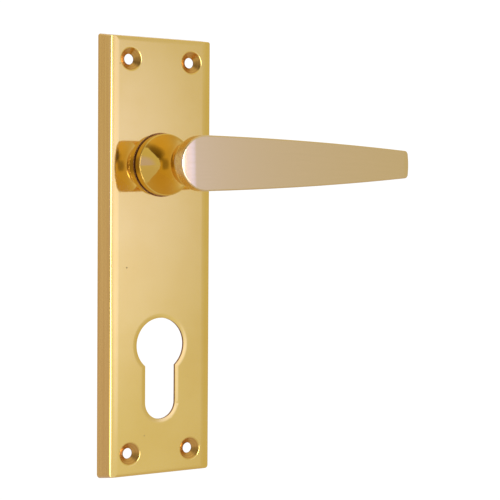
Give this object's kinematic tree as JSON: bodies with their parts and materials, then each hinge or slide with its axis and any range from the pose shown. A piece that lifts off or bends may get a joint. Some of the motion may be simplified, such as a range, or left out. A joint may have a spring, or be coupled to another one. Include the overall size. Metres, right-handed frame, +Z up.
{
  "type": "lever handle on euro lock backplate",
  "caption": "Straight sprung lever door handle on a rectangular backplate pierced for a euro profile cylinder, with its return spring cassette behind.",
  "frame": {"origin": "on the spindle axis, in the plane where the backplate meets the door", "axes": "+X along the lever, +Z up, +Y into the door, so the front faces -Y"},
  "size_m": [0.1064, 0.0368, 0.152],
  "materials": {
    "polished_brass": "polished and lacquered",
    "acetal_natural": "smooth",
    "hardened_steel": "ground",
    "die_cast_zinc": "as cast",
    "zinc_plated_steel": "bright zinc plated",
    "spring_steel": "oiled"
  },
  "bodies": {
    "door_plate": {"backplate": "polished_brass", "pivot_bush": "acetal_natural", "front_washer": "acetal_natural", "stop_pin_upper": "hardened_steel", "stop_pin_lower": "hardened_steel", "spring_housing": "die_cast_zinc", "housing_cover": "zinc_plated_steel", "cover_screws": "zinc_plated_steel"},
    "lever": {"lever_handle": "polished_brass", "return_rotor": "die_cast_zinc", "thrust_washer": "zinc_plated_steel", "spring_washer": "spring_steel", "retaining_ring": "spring_steel", "return_spring_right": "spring_steel", "return_spring_left": "spring_steel"}
  },
  "joints": [
    {"name": "lever_turn", "type": "hinge", "parent": "door_plate", "child": "lever", "pos_m": [0, 0, 0], "axis": [0, 1, 0], "range_deg": [0, 40], "stiffness_Nm_per_rad": 0.5, "springref_deg": -28.65, "deforming": ["return_spring_right", "return_spring_left"]}
  ]
}
